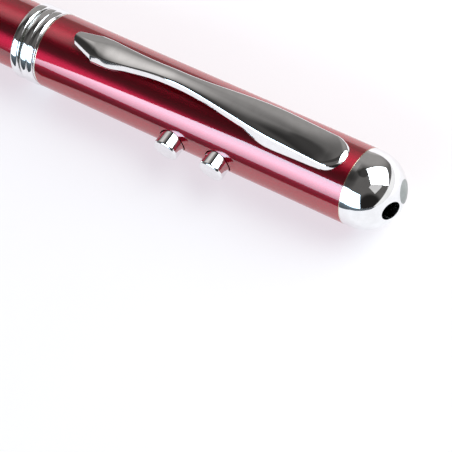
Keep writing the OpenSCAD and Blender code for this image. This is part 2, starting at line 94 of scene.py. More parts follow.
def along(s: float, stops: Sequence[Stop]) -> float:
    """Value at s on a line through stops.

    Args:
        s: the place.
        stops: places and values in order, each with whether the span after it is eased.

    Returns:
        The value, held before the first stop and after the last one.
    """
    for (start, low, eased), (end, high, _) in zip(stops, stops[1:]):
        if s < end:
            share = ramp(s, start, end)
            return mix(low, high, ease(share) if eased else share)
    return stops[-1][1]


class Grid:
    """Points and faces of one piece, in millimetres, before it becomes a Blender object."""

    def __init__(self) -> None:
        """Starts with no points and no faces."""
        self.points: list[Sequence[float]] = []
        self.faces: list[list[int]] = []

    def row(self, points: Iterable[Sequence[float]]) -> list[int]:
        """Adds a row of points.

        Args:
            points: the row's points, in millimetres.

        Returns:
            The new points' numbers.
        """
        first = len(self.points)
        self.points.extend(points)
        return list(range(first, len(self.points)))

    def bridge(self, a: list[int], b: list[int], closed: bool = False) -> None:
        """Joins two rows of the same length with four-sided faces.

        Args:
            a: the first row.
            b: the second row.
            closed: whether the rows run round and meet themselves.
        """
        last = len(a) if closed else len(a) - 1
        for i in range(last):
            j = (i + 1) % len(a)
            self.faces.append([a[i], a[j], b[j], b[i]])

    def to_object(self, name: str, sharp_deg: float = SHARP_DEG) -> Piece:
        """Makes the Blender object, with doubled points joined and faces turned outward.

        Args:
            name: the piece's name.
            sharp_deg: the angle above which an edge stays sharp.

        Returns:
            The new object, linked to the scene, in metres.
        """
        mesh = bpy.data.meshes.new(name)
        mesh.from_pydata([[c * MM for c in p] for p in self.points], [], self.faces)
        work = bmesh.new()
        work.from_mesh(mesh)
        bmesh.ops.remove_doubles(work, verts=work.verts, dist=WELD)
        bmesh.ops.dissolve_degenerate(work, edges=work.edges, dist=SLIVER)
        bmesh.ops.recalc_face_normals(work, faces=work.faces)
        work.to_mesh(mesh)
        work.free()
        mesh.polygons.foreach_set("use_smooth", [True] * len(mesh.polygons))
        mesh.set_sharp_from_angle(angle=math.radians(sharp_deg))
        piece = bpy.data.objects.new(name, mesh)
        bpy.context.scene.collection.objects.link(piece)
        return piece


def turned(name: str, outline: Sequence[Pair], steps: int = 128, centre: Pair = (0.0, 0.0)) -> Piece:
    """Turns a closed outline about a line along X.

    Args:
        name: the piece's name.
        outline: (x, radius) points of the closed outline, in millimetres.
        steps: how many sections go round.
        centre: the line's y and z.

    Returns:
        The turned piece.
    """
    grid = Grid()
    rows = []
    for k in range(steps):
        angle = math.tau * k / steps
        across, up = math.cos(angle), math.sin(angle)
        rows.append(grid.row((x, centre[0] + r * across, centre[1] + r * up) for x, r in outline))
    for k in range(steps):
        grid.bridge(rows[k], rows[(k + 1) % steps], closed=True)
    return grid.to_object(name)


def arc(centre: Pair, radius: float, start_deg: float, end_deg: float, steps: int) -> list[Pair]:
    """Points along a round corner of an outline.

    Args:
        centre: the corner's centre.
        radius: its radius.
        start_deg: the angle of the first point.
        end_deg: the angle of the last point.
        steps: how many spans it has.

    Returns:
        The points, first and last included.
    """
    found = []
    for k in range(steps + 1):
        angle = math.radians(mix(start_deg, end_deg, k / steps))
        found.append((centre[0] + radius * math.cos(angle), centre[1] + radius * math.sin(angle)))
    return found


class Nodes:
    """A node tree, with short calls to add nodes and join them."""

    def __init__(self, owner: bpy.types.ID) -> None:
        """Turns on the node tree of its owner: a material, a light or the world."""
        owner.use_nodes = True
        self.nodes, self.links = owner.node_tree.nodes, owner.node_tree.links

    def add(self, kind: str, **values: object) -> bpy.types.Node:
        """Adds a node and sets its options and input values.

        Args:
            kind: the node's Blender type, without its ShaderNode prefix.
            values: options by their own name, inputs by their name with spaces as underscores.

        Returns:
            The new node.
        """
        node = self.nodes.new("ShaderNode" + kind)
        for key, value in values.items():
            name = key.replace("_", " ")
            if name in node.inputs:
                node.inputs[name].default_value = value
            else:
                setattr(node, key, value)
        return node

    def join(self, source: Socket, target: Socket) -> None:
        """Joins an output to an input."""
        self.links.new(source, target)

    def pair(self, kind: str, a: Socket | float, b: Socket | float) -> Socket:
        """Joins two values into one.

        Args:
            kind: the sum's Blender name.
            a: the first socket or number.
            b: the second socket or number.

        Returns:
            The socket that gives the result.
        """
        node = self.add("Math", operation=kind)
        for slot, value in zip(node.inputs, (a, b)):
            if isinstance(value, float):
                slot.default_value = value
            else:
                self.join(value, slot)
        return node.outputs[0]

    def span(self, source: Socket, **values: object) -> Socket:
        """Maps a value from one range to another.

        Args:
            source: the socket that gives the value.
            values: the ranges, as add takes them.

        Returns:
            The socket that gives the result.
        """
        node = self.add("MapRange", **values)
        self.join(source, node.inputs["Value"])
        return node.outputs["Result"]


class Tree(Nodes):
    """The node tree of one material."""

    def __init__(self, name: str) -> None:
        """Makes a material with one main shader.

        Args:
            name: the material's name.
        """
        self.material = bpy.data.materials.new(name)
        super().__init__(self.material)
        self.shader = self.nodes["Principled BSDF"]

    def settings(self, **values: object) -> None:
        """Sets values on the main shader, spaces in their names as underscores."""
        for key, value in values.items():
            self.shader.inputs[key.replace("_", " ")].default_value = value

    def place(self, scale: Sequence[float]) -> Socket:
        """Coordinates on the piece, stretched along each axis.

        Args:
            scale: the stretch along X, Y and Z.

        Returns:
            The socket that gives the coordinates.
        """
        spot = self.add("TexCoord")
        stretch = self.add("Mapping", Scale=tuple(scale))
        self.join(spot.outputs["Object"], stretch.inputs["Vector"])
        return stretch.outputs["Vector"]

    def noise(self, where: Socket, scale: float, detail: float = 2.0) -> Socket:
        """Grain from 0 to 1.

        Args:
            where: the coordinates it is laid on.
            scale: grains to the metre, about.
            detail: how many finer layers it has.

        Returns:
            The socket that gives the grain.
        """
        grain = self.add("TexNoise", Scale=scale, Detail=detail)
        self.join(where, grain.inputs["Vector"])
        return grain.outputs["Fac"]

    def colour(self, factor: Socket, stops: Sequence[tuple[float, Colour]]) -> None:
        """Colours the main shader over a factor.

        Args:
            factor: the socket that runs from 0 to 1.
            stops: two places and their colours.
        """
        band = self.add("ValToRGB")
        points = band.color_ramp.elements
        for point, (place, colour) in zip(points, stops):
            point.position = place
            point.color = (*colour, 1.0)
        self.join(factor, band.inputs["Fac"])
        self.join(band.outputs["Color"], self.shader.inputs["Base Color"])

    def rough(self, factor: Socket, low: float, high: float) -> None:
        """Sets the main shader's roughness, from low to high as a factor runs from 0 to 1."""
        self.join(self.span(factor, To_Min=low, To_Max=high), self.shader.inputs["Roughness"])

    def bump(self, height: Socket, strength: float, depth: float) -> None:
        """Gives the main shader's surface a fine relief.

        Args:
            height: the socket that gives the relief.
            strength: its strength, from 0 to 1.
            depth: its depth in metres.
        """
        relief = self.add("Bump", Strength=strength, Distance=depth)
        self.join(height, relief.inputs["Height"])
        self.join(relief.outputs["Normal"], self.shader.inputs["Normal"])


@dataclass(frozen=True)
class RedLacquer:
    """Red lacquer under a clear coat, on a turned tube whose fine rings draw the lights out along the pen."""

    name: str = "red_lacquer"
    deep: Colour = (0.355, 0.005, 0.022)
    bright: Colour = (0.425, 0.007, 0.030)
    flake_scale: float = 5200.0
    ring_scale: float = 2600.0
    rough: float = 0.43
    rough_swing: float = 0.03
    stretch: float = 0.9
    coat_ior: float = 1.95
    coat_rough: float = 0.03
    rim: Colour = (1.0, 0.10, 0.16)

    def make(self) -> Material:
        """Makes the material.

        Returns:
            The finished material.
        """
        tree = Tree(self.name)
        flakes = tree.noise(tree.place(EVEN), self.flake_scale, 3.0)
        tree.colour(flakes, [(0.30, self.deep), (0.72, self.bright)])
        rings = tree.noise(tree.place(ACROSS), self.ring_scale)
        tree.rough(rings, self.rough - self.rough_swing, self.rough + self.rough_swing)
        round_way = tree.add("Tangent", direction_type="RADIAL", axis="X")
        tree.join(round_way.outputs["Tangent"], tree.shader.inputs["Tangent"])
        tree.settings(Metallic=1.0, Anisotropic=self.stretch, Anisotropic_Rotation=0.25)
        tree.settings(Specular_Tint=(*self.rim, 1.0))
        tree.settings(Coat_Weight=1.0, Coat_Roughness=self.coat_rough, Coat_IOR=self.coat_ior)
        return tree.material


@dataclass(frozen=True)
class Chrome:
    """Bright chrome plate with the faint haze of buffing."""

    name: str = "chrome_plate"
    clear: Colour = (0.905, 0.905, 0.912)
    hazed: Colour = (0.855, 0.853, 0.858)
    rough_low: float = 0.025
    rough_high: float = 0.060
    haze_scale: float = 900.0
    scratch_scale: float = 7000.0

    def make(self) -> Material:
        """Makes the material.

        Returns:
            The finished material.
        """
        tree = Tree(self.name)
        buffed = tree.noise(tree.place(EVEN), self.haze_scale, 4.0)
        tree.colour(buffed, [(0.35, self.hazed), (0.65, self.clear)])
        tree.rough(buffed, self.rough_high, self.rough_low)
        scratches = tree.noise(tree.place((0.15, 1.0, 1.0)), self.scratch_scale, 1.0)
        tree.bump(scratches, 0.012, 0.00001)
        tree.settings(Metallic=1.0)
        return tree.material


@dataclass(frozen=True)
class Grained:
    """A finish in two shades with a fine grain, the base of the plain ones."""

    name: str
    dark: Colour
    light: Colour
    rough: float = 0.42
    grain: float = 2500.0
    detail: float = 2.0
    stretch: Triple = EVEN
    swing: Pair = (0.06, 0.08)
    relief: float = 0.0
    relief_depth: float = 0.00002
    metallic: float = 0.0
    ior: float = 1.5
    transmission: float = 0.0

    def make(self) -> Material:
        """Makes the material.

        Returns:
            The finished material.
        """
        tree = Tree(self.name)
        grain = tree.noise(tree.place(self.stretch), self.grain, self.detail)
        tree.colour(grain, [(0.3, self.dark), (0.7, self.light)])
        tree.rough(grain, self.rough - self.swing[0], self.rough + self.swing[1])
        if self.relief:
            tree.bump(grain, self.relief, self.relief_depth)
        tree.settings(Metallic=self.metallic, IOR=self.ior, Transmission_Weight=self.transmission)
        return tree.material


@dataclass(frozen=True)
class TurnedMetal(Grained):
    """Bare metal with fine turning lines."""

    rough: float = 0.24
    grain: float = 6000.0
    stretch: Triple = ACROSS
    swing: Pair = (0.05, 0.08)
    relief: float = 0.06
    metallic: float = 1.0


@dataclass(frozen=True)
class Plastic(Grained):
    """Moulded plastic with a fine grain."""

    detail: float = 3.0
    relief: float = 0.15


@dataclass(frozen=True)
class ClearResin(Grained):
    """Clear moulded resin or glass, with a trace of haze."""

    rough: float = 0.03
    grain: float = 1400.0
    swing: Pair = (0.0, 0.06)
    transmission: float = 1.0


class Finishes:
    """Every finish of the pen, made once."""

    def __init__(self) -> None:
        """Makes the materials."""
        self.red = RedLacquer().make()
        self.chrome = Chrome().make()
        self.pale_edge = TurnedMetal("bare_edge", (0.62, 0.52, 0.36), (0.80, 0.72, 0.56), 0.2).make()
        self.brass = TurnedMetal("turned_brass", (0.60, 0.42, 0.15), (0.78, 0.60, 0.27)).make()
        self.steel = TurnedMetal("plain_steel", (0.50, 0.50, 0.52), (0.68, 0.68, 0.70)).make()
        self.black = Plastic("black_plastic", (0.010, 0.010, 0.012), (0.026, 0.026, 0.029)).make()
        # Painted shade: a near-black colour for the dark ring that darkens the ring's wide groove.
        self.painted_groove_shade = Plastic("groove_painted_shade", (0.03, 0.026, 0.018), (0.05, 0.044, 0.03), 0.22, 3000.0).make()
        self.white = Plastic("white_plastic", (0.66, 0.65, 0.60), (0.80, 0.79, 0.74)).make()
        self.board = Plastic("board_mask", (0.015, 0.10, 0.035), (0.03, 0.19, 0.07), 0.3, 900.0).make()
        self.ink = Plastic("ink_paste", (0.006, 0.006, 0.03), (0.015, 0.015, 0.08), 0.25, 1200.0).make()
        self.resin = ClearResin("lamp_resin", (0.86, 0.88, 0.9), (0.95, 0.96, 0.98), transmission=0.82).make()
        self.frosted = ClearResin(
            "frosted_resin", (0.38, 0.38, 0.37), (0.46, 0.46, 0.45), 0.32, ior=1.45, transmission=0.35
        ).make()
        self.glass = ClearResin("lens_glass", (0.84, 0.90, 0.94), (0.90, 0.95, 0.98), ior=1.6).make()
        self.die = Plastic("lamp_die", (0.75, 0.66, 0.20), (0.90, 0.82, 0.30), 0.5, 4000.0).make()


def dress(material: Material, *names: str) -> None:
    """Gives CAD nodes a finish.

    Args:
        material: the finish.
        names: the nodes' names.
    """
    for name in names:
        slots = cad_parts[name].data.materials
        slots.clear()
        slots.append(material)
        LOG.info("dressed %s in %s", name, material.name)


def fit(piece: Piece, material: Material, body: Body, slot: Slot, *stands_for: str) -> None:
    """Finishes a new piece and sets it on its body.

    Args:
        piece: the piece.
        material: its finish.
        body: the body that it moves with.
        slot: the record's slot of its finish; not used.
        stands_for: the CAD nodes that it shows in place of.
    """
    piece.data.materials.append(material)
    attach(piece, body.value)
    if stands_for:
        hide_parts(*stands_for)
    LOG.info("made %s on %s", piece.name, body.value)


@dataclass
class PocketClip:
    """The sprung clip: a crowned blade with leaning sides, and two ears that go down into the barrel.

    Stations are distances in millimetres from the rear end towards the tip.
    """

    rear_x: float = 56.95
    length: float = 46.7
    rear_w: float = 5.0
    waist_w: float = 2.1
    head_w: float = 3.7
    tip_w: float = 1.75
    rear_rise: float = 0.5
    waist_rise: float = 2.35
    head_rise: float = 1.17
    tip_rise: float = 1.6
    depth: float = 0.95
    head_depth: float = 1.75
    corner_depth: float = 1.45
    front_depth: float = 0.58
    end_depth: float = 0.95
    tip_depth: float = 0.46
    lean: float = 0.27
    front_lean: float = 0.5
    corner_len: float = 0.1
    crown: float = 0.35
    end_round: float = 1.3
    edge_round: float = 0.3
    front_round: float = 0.2
    crease_deg: float = 22.0
    head_crease_deg: float = 40.0
    crease_margin_deg: float = 4.0
    round_share: float = 0.4
    roof: float = 0.2
    roof_soft: float = 0.5
    roof_from: float = 0.5
    roof_len: float = 5.2
    roof_wide: float = 1.9
    roof_bend: float = 3.2
    rise_bend: float = 0.8
    lip_bend: float = 1.5
    crown_from: float = 0.15
    crown_full: float = 9.0
    gap: float = 0.19
    edge_gap: float = 0.08
    land: float = 0.03
    pivot: float = 3.4
    ear_from: float = 4.7
    ear_to: float = 11.8
    ear_t: float = 0.7
    ear_fade: float = 4.5
    ear_inset: float = 0.02
    ear_round: float = 0.06
    ear_over: float = 0.15
    hook_out: float = 0.6
    hook_clear: float = 0.4
    hook_t: float = 0.5
    hook_len: float = 2.2
    head_fade: float = 5.0
    waist_from: float = 10.0
    waist_at: float = 28.0
    neck_at: float = 30.4
    head_back: float = 5.0
    corner_back: float = 3.7
    tip_len: float = 0.3
    lip_from: float = 0.7
    barrel_r: float = 5.75
    bore_r: float = 5.0
    top_steps: int = 16
    corner_steps: int = 10
    side_steps: int = 4
    under_steps: int = 8
    tip_steps: int = 5
    head_steps: int = 40
    blade_steps: int = 150
    end_steps: int = 40
    end_r: float = field(init=False)
    head_at: float = field(init=False)
    corner_at: float = field(init=False)
    edge_z: float = field(init=False)
    widths: tuple[Stop, ...] = field(init=False)
    crowns: tuple[Stop, ...] = field(init=False)
    depths: tuple[Stop, ...] = field(init=False)

    def __post_init__(self) -> None:
        """Works out the sizes that follow from the others."""
        self.end_r = self.rear_w / 2 + self.lean * self.end_depth
        self.head_at = self.length - self.head_back
        self.corner_at = self.length - self.corner_back
        self.edge_z = math.sqrt(self.barrel_r**2 - self.end_r**2) + self.edge_gap
        self.widths = (
            (self.waist_from, self.rear_w, True),
            (self.waist_at, self.waist_w, False),
            (self.neck_at, self.waist_w, True),
            (self.corner_at, self.head_w, False),
            (self.length - self.tip_len, self.tip_w, False),
        )
        waist, head = (self.crown * w / self.rear_w for w in (self.waist_w, self.head_w))
        self.crowns = (
            (0.0, self.crown * self.crown_from, True),
            (self.crown_full, self.crown, False),
            (self.waist_from, self.crown, True),
            (self.waist_at, waist, False),
            (self.neck_at, waist, True),
            (self.corner_at, head, True),
            (self.length, head / 2, False),
        )
        self.depths = (
            (self.head_at - self.head_fade, self.depth, True),
            (self.head_at, self.head_depth, False),
            (self.corner_at, self.corner_depth, False),
            (self.corner_at + self.corner_len, self.front_depth, False),
            (self.length, self.tip_depth, False),
        )

    def half(self, s: float) -> float:
        """Half the width of the top face at station s."""
        return along(s, self.widths) / 2 - self.tip_len * ramp(s, self.length - self.tip_len, self.length)

    def lean_at(self, s: float) -> float:
        """How far the sides lean out at station s, as a share of their depth."""
        return mix(self.lean, self.front_lean, ramp(s, self.corner_at, self.corner_at + self.corner_len))

    def crown_at(self, s: float) -> float:
        """Height of the crown over the top face's edges at station s."""
        return along(s, self.crowns)

    def roof_fall(self, s: float, r: float) -> float:
        """How far the two front facets of the head fall away from the middle.

        Args:
            s: the station.
            r: the distance from the middle.

        Returns:
            The fall in millimetres.
        """
        start = self.head_at - self.roof_from
        left = 1 - ramp(s, start, start + self.roof_len)
        crest = self.roof_wide * left**self.roof_bend + max(0.0, start - s)
        past = r - crest
        return self.roof * (past + math.hypot(past, self.roof_soft)) / 2

    def rise(self, s: float) -> float:
        """Height of the top face's edge above the pen's axis at station s.

        Args:
            s: the station.

        Returns:
            The height in millimetres.
        """
        lip = self.head_at - self.lip_from
        if s < self.waist_at:
            share = ease(ramp(s, 0, self.waist_at) ** self.rise_bend)
            return self.barrel_r + mix(self.rear_rise, self.waist_rise, share)
        if s < lip:
            return self.barrel_r + mix(self.waist_rise, self.head_rise, ease(ramp(s, self.waist_at, lip)))
        return self.barrel_r + mix(self.head_rise, self.tip_rise, ramp(s, lip, self.length) ** self.lip_bend)

    def top(self, s: float, r: float, half: float) -> float:
        """Height of the crowned top face at station s and r from its middle, for half its width."""
        return self.rise(s) + self.crown_at(s) * max(0.0, 1 - (r / half) ** 2) - self.roof_fall(s, r)

    def deep(self, s: float) -> float:
        """Depth of the sides at station s: down to the barrel at the ears, shallow along the blade.

        Args:
            s: the station.

        Returns:
            The depth in millimetres.
        """
        if s < self.end_r:
            return self.end_depth
        if s < self.waist_at:
            at_ears = max(self.end_depth, self.rise(s) - self.edge_z)
            return mix(at_ears, self.depth, ease(ramp(s, self.ear_to, self.ear_to + self.ear_fade)))
        return along(s, self.depths)

    def under(self, s: float, y: float) -> float:
        """Height of the underside at station s and y: it keeps off the barrel.

        Args:
            s: the station.
            y: the distance from the middle.

        Returns:
            The height in millimetres.
        """
        off = mix(self.gap, self.edge_gap, ramp(s, self.pivot, self.ear_from))
        barrel = math.sqrt(max(0.0, self.barrel_r**2 - y * y)) + off
        return max(self.rise(s) - self.roof_fall(s, y) - self.deep(s) - self.land, barrel)

    def free_depth(self, s: float, outer: float, half: float, across: float = 1.0) -> float:
        """Depth of the sides that the barrel leaves room for; across is as in profile."""
        return min(self.deep(s), self.top(s, outer, half) - self.under(s, outer * across) - self.land)

    def side_line(self, depth: float, s: float) -> list[Pair]:
        """The leaning side with its rounded upper corner, which meets the side in a slight crease.

        Args:
            depth: the side's depth.
            s: the station.

        Returns:
            (distance from the outer edge, fall) pairs from the top face down to the lower edge.
        """
        lean = self.lean_at(s)
        crease = mix(self.crease_deg, self.head_crease_deg, ease(ramp(s, self.neck_at, self.head_at)))
        turn = math.atan2(1.0, lean) - math.radians(crease)
        past = ramp(s, self.corner_at, self.corner_at + self.corner_len)
        radius = min(mix(self.edge_round, self.front_round, past), self.round_share * depth)
        drop = radius * (1 - math.cos(turn))
        start = -lean * (depth - drop) - radius * math.sin(turn)
        found = []
        for k in range(self.corner_steps + 1):
            a = turn * k / self.corner_steps
            found.append((start + radius * math.sin(a), radius * (1 - math.cos(a))))
        first = found[-1]
        for k in range(1, self.side_steps + 1):
            t = k / self.side_steps
            found.append((mix(first[0], 0.0, t), mix(first[1], depth, t)))
        return found

    def round_line(self, depth: float) -> list[Pair]:
        """The round rear end's profile.

        Args:
            depth: the end's depth.

        Returns:
            As many pairs as side_line gives, along the upper part of an ellipse.
        """
        steps = self.corner_steps + self.side_steps
        stop = math.acos(max(0.0, 1 - depth / self.end_depth))
        found = []
        for k in range(steps + 1):
            a = stop * k / steps
            inward = self.end_round * (math.sin(a) - math.sin(stop))
            found.append((inward, self.end_depth * (1 - math.cos(a))))
        return found

    def profile(
        self, s_of: Callable[[float], float], outer: float, half: float, turn: float, across: float = 1.0
    ) -> list[Pair]:
        """Half a section, from the middle of the top to the middle of the underside.

        Args:
            s_of: gives the station at a distance from the middle.
            outer: the distance of the outer edge.
            half: half the top face's width, for the crown.
            turn: 0 for a straight section, up to 1 at the very rear.
            across: the share of a distance from the middle that runs across the pen.

        Returns:
            (distance from the middle, height) pairs.
        """
        edge = s_of(outer)
        depth = self.free_depth(edge, outer, half, across)
        fall = [
            (mix(a[0], b[0], turn), mix(a[1], b[1], turn))
            for a, b in zip(self.side_line(depth, edge), self.round_line(depth))
        ]
        flat = outer + fall[0][0]
        across_top = (flat * k / self.top_steps for k in range(self.top_steps))
        found = [(r, self.top(s_of(r), r, half)) for r in across_top]
        for offset, drop in fall:
            r = outer + offset
            found.append((r, self.top(s_of(r), r, half) - drop))
        lowest = found[-1][1] - self.land
        for k in range(self.under_steps + 1):
            r = outer * (1 - k / self.under_steps)
            z = self.under(s_of(r), r * across)
            found.append((r, z if k else min(z, lowest)))
        return found

    def straight(self, s: float) -> list[Pair]:
        """Half a section straight across the clip.

        Args:
            s: the station.

        Returns:
            (distance from the middle, height) pairs.
        """
        half, lean = self.half(s), self.lean_at(s)
        outer = half + lean * self.free_depth(s, half + lean * self.deep(s), half)
        return self.profile(lambda r: s, outer, half, 0.0)

    def stations(self) -> list[float]:
        """Stations from the tip back to the start of the round rear end.

        Returns:
            The stations, close together at the tip and the head.
        """
        last = self.length - self.tip_len
        quarters = (math.pi / 2 * k / self.tip_steps for k in range(self.tip_steps + 1))
        ends = [self.length - self.tip_len * (1 - math.cos(a)) for a in quarters]
        head = [mix(last, self.head_at, k / self.head_steps) for k in range(1, self.head_steps + 1)]
        blade = [mix(self.head_at, self.end_r, k / self.blade_steps) for k in range(1, self.blade_steps + 1)]
        return ends + head + blade

    def build_blade(self) -> Piece:
        """Makes the blade as one closed shell.

        Returns:
            The blade.
        """
        grid = Grid()
        straight = [(self.rear_x - s, self.straight(s)) for s in self.stations()]
        rows = [grid.row((x, r, z) for r, z in line) for x, line in straight]
        for k in range(1, self.end_steps):
            angle = math.pi / 2 - math.pi * k / self.end_steps
            back, across = math.cos(angle), math.sin(angle)
            line = self.profile(
                lambda r, b=back: self.end_r - r * b, self.end_r, self.rear_w / 2, back, abs(across)
            )
            rows.append(grid.row((self.rear_x - self.end_r + r * back, r * across, z) for r, z in line))
        rows += [grid.row((x, -r, z) for r, z in line) for x, line in reversed(straight)]
        for a, b in zip(rows, rows[1:]):
            grid.bridge(a, b)
        grid.faces.append(rows[0] + rows[-1][::-1][1:-1])
        return grid.to_object("clip_blade", self.crease_deg - self.crease_margin_deg)

    def build_ears(self) -> Piece:
        """Makes the two ears with their hooks, each one closed solid.

        Returns:
            Both ears as one piece.
        """
        outside = self.end_r - self.ear_inset
        hook_y = outside + self.hook_out
        hook_z = math.sqrt(self.bore_r**2 - hook_y**2) - self.hook_clear
        low, high = hook_z - self.hook_t, self.edge_z + self.ear_over
        inner, root, cut = outside - self.ear_t, outside - self.ear_inset, self.ear_round
        ear = [(inner, low), (outside, low), (outside, high - cut), (outside - cut, high), (inner, high)]
        hook = [(root, low), (hook_y, low), (hook_y, hook_z - cut), (hook_y - cut, hook_z), (root, hook_z)]
        grid = Grid()
        for side in (-1, 1):
            for shape, x0, x1 in (
                (ear, self.rear_x - self.ear_to, self.rear_x - self.ear_from),
                (hook, self.rear_x - self.ear_from - self.hook_len, self.rear_x - self.ear_from),
            ):
                a = grid.row((x0, side * y, z) for y, z in shape)
                b = grid.row((x1, side * y, z) for y, z in shape)
                grid.bridge(a, b, closed=True)
                grid.faces.append(a)
                grid.faces.append(b[::-1])
        return grid.to_object("clip_ears")

    def build(self, finishes: Finishes) -> None:
        """Makes the clip and sets it on its body.

        Args:
            finishes: the pen's finishes.
        """
        for piece in (self.build_blade(), self.build_ears()):
            fit(piece, finishes.chrome, Body.CLIP, Slot.CHROME, "pocket_clip")
        dress(finishes.chrome, "pocket_clip")


@dataclass
class RearHalf:
    """The red rear barrel with its bare edges, the chrome dome and the lights in it."""

    barrel_r: float = 5.75
    front_x: float = 4.5
    dome_x: float = 58.5
    edge_w: float = 0.13
    edge_t: float = 0.06
    edge_cut: float = 0.02
    edge_proud: float = 0.006
    lamp_y: float = 1.8
    lamp_z: float = 0.5
    lamp_r: float = 1.4
    lamp_tip_x: float = 64.4878
    lamp_len: float = 5.3
    rim_r: float = 1.75
    rim_t: float = 1.0
    rim_cut: float = 0.08
    cup: tuple[Pair, ...] = ((1.3, 0.0), (1.3, 0.62), (2.3, 0.62), (2.3, 0.54), (1.92, 0.30), (1.9, 0.0))
    die_at: float = 1.91
    die_r: float = 0.28
    die_t: float = 0.14
    dome_centre_x: float = 59.2
    dome_r: float = 5.75
    cover_r: float = 1.72
    cover_swell: float = 0.09
    cover_proud: float = 0.002
    cover_t: float = 0.03
    cover_rings: int = 10
    cover_steps: int = 64

    def edge_ring(self, name: str, x0: float) -> Piece:
        """A thin bright line where the lacquer ends at the tube's edge.

        Args:
            name: the piece's name.
            x0: the line's lower x.

        Returns:
            The ring.
        """
        r = self.barrel_r + self.edge_proud
        w, foot, cut = self.edge_w, r - self.edge_t, r - self.edge_cut
        front = [(x0, foot), (x0, cut), (x0 + 0.25 * w, r)]
        return turned(name, front + [(x0 + 0.75 * w, r), (x0 + w, cut), (x0 + w, foot)], steps=160)

    def lamp_piece(self, name: str, outline: Sequence[Pair], steps: int) -> Piece:
        """Turns an outline of (distance from the lamp's foot, radius) points about the lamp's line."""
        foot = self.lamp_tip_x - self.lamp_len
        return turned(name, [(foot + x, r) for x, r in outline], steps, (self.lamp_y, self.lamp_z))

    def lens_line(self) -> list[Pair]:
        """Outline of the lamp's clear body: rim, straight wall and round tip.

        Returns:
            (distance from the lamp's foot, radius) points.
        """
        rim, cut = self.rim_r, self.rim_cut
        line = [(0.0, 0.0), (0.0, rim - cut), (cut, rim), (self.rim_t - cut, rim), (self.rim_t, rim - cut)]
        line.append((self.rim_t, self.lamp_r))
        return line + arc((self.lamp_len - self.lamp_r, 0.0), self.lamp_r, 90, 0, steps=16)

    def die_line(self) -> list[Pair]:
        """Outline of the yellow phosphor drop in the cup, as lamp_piece takes it."""
        drop = [(self.die_t * math.sin(a), self.die_r * math.cos(a)) for a in (0.4, 0.8, 1.2)]
        return [(self.die_at + x, r) for x, r in [(0.0, 0.0), (0.0, self.die_r), *drop, (self.die_t, 0.0)]]

    def lamp_cover(self) -> Piece:
        """The frosted cover over the lamp's opening, which follows the dome and swells a little.

        Returns:
            The cover.
        """
        across = math.hypot(self.lamp_y, self.lamp_z)
        out = Vector((math.sqrt(self.dome_r**2 - across**2), self.lamp_y, self.lamp_z)) / self.dome_r
        side = Vector((0.0, 0.0, 1.0)).cross(out).normalized()
        up = out.cross(side)
        middle = Vector((self.dome_centre_x, 0.0, 0.0))
        reach = math.asin(self.cover_r / self.dome_r)
        outline = []
        for k in range(self.cover_rings + 1):
            swell = self.cover_swell * (1 - (k / self.cover_rings) ** 2) ** 2
            outline.append((reach * k / self.cover_rings, self.dome_r + (self.cover_proud + swell)))
        outline += [(reach * k / 4, self.dome_r - self.cover_t) for k in (4, 3, 2, 1, 0)]
        grid = Grid()
        rows = []
        for k in range(self.cover_steps):
            turn = math.tau * k / self.cover_steps
            away = math.cos(turn) * side + math.sin(turn) * up
            rows.append(grid.row(middle + r * (math.cos(a) * out + math.sin(a) * away) for a, r in outline))
        for k in range(self.cover_steps):
            grid.bridge(rows[k], rows[(k + 1) % self.cover_steps], closed=True)
        return grid.to_object("lamp_cover")

    def build(self, finishes: Finishes) -> None:
        """Makes the fine pieces and dresses the CAD nodes.

        Args:
            finishes: the pen's finishes.
        """
        dome_edge = self.edge_ring("dome_end_edge", self.dome_x - self.edge_w)
        fit(dome_edge, finishes.pale_edge, Body.REAR, Slot.BRASS)
        fit(self.edge_ring("ring_end_edge", self.front_x), finishes.pale_edge, Body.REAR, Slot.BRASS)
        lens = self.lamp_piece("lamp_lens", self.lens_line(), steps=64)
        cup = self.lamp_piece("lamp_cup", self.cup, steps=40)
        die = self.lamp_piece("lamp_die", self.die_line(), steps=32)
        fit(lens, finishes.resin, Body.REAR, Slot.LAMP_RESIN, "lamp")
        fit(cup, finishes.chrome, Body.REAR, Slot.CHROME)
        fit(die, finishes.die, Body.REAR, Slot.LAMP_RESIN)
        fit(self.lamp_cover(), finishes.frosted, Body.REAR, Slot.LAMP_RESIN)
        dress(finishes.red, "rear_barrel")
        dress(finishes.chrome, "dome_cap")
        dress(finishes.black, "light_holder", "cell_sleeve", "laser_switch", "lamp_switch", "board_parts")
        dress(finishes.brass, "laser_housing", "laser_diode", "board_contact", "cell_plug", "cell_spring")
        dress(finishes.steel, "laser_leads", "lamp_leads", "button_cell_1", "button_cell_2", "button_cell_3")
        dress(finishes.glass, "laser_lens")
        dress(finishes.resin, "lamp")
        dress(finishes.board, "circuit_board")
        dress(finishes.white, "twist_sleeve")


